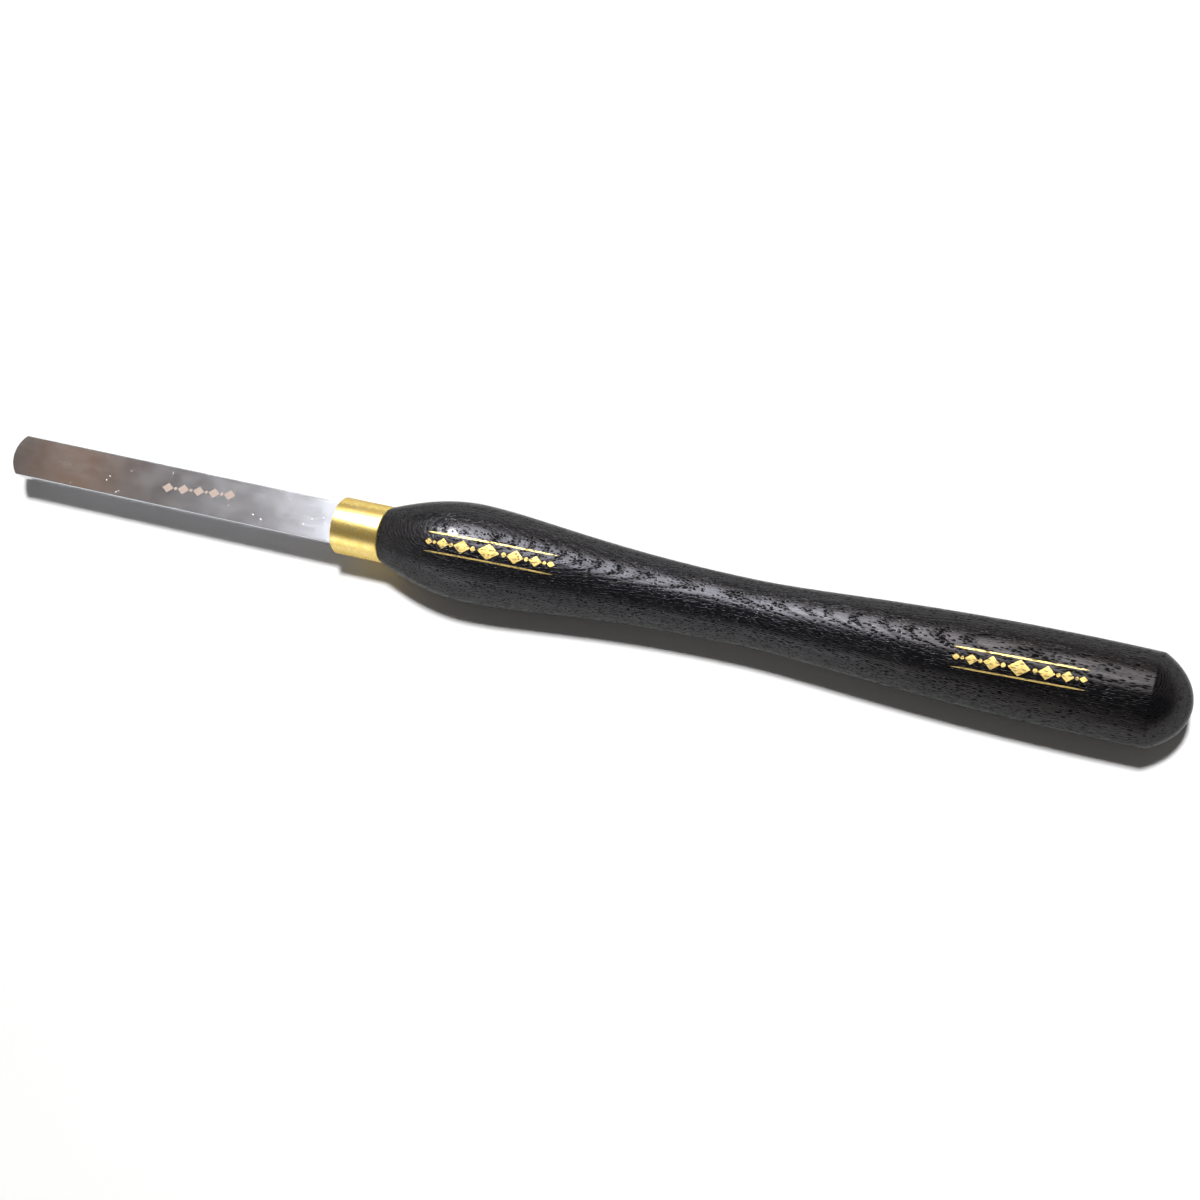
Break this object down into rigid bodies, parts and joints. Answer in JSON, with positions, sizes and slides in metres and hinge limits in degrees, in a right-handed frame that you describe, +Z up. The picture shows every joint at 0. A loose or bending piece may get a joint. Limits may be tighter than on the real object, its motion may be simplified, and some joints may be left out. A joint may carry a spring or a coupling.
{
  "type": "round nose scraper",
  "caption": "Woodturning round nose scraper: flat steel blade with a shallow round, bevelled nose, brass ferrule, and turned black ash handle with a bulge, a waist and a domed tail.",
  "frame": {"origin": "middle of the tool's length, on the axis of the handle", "axes": "+X along the tool from the nose towards the tail, +Z up, square to the blade's upper face, +Y across the blade"},
  "size_m": [0.5466, 0.0438, 0.0438],
  "materials": {
    "blade_steel": "satin, ground lengthwise",
    "ferrule_brass": "satin, turned",
    "black_ash": "black stain under satin lacquer, open pores"
  },
  "bodies": {
    "root": {"blade": "blade_steel", "ferrule": "ferrule_brass", "handle": "black_ash"}
  },
  "joints": []
}
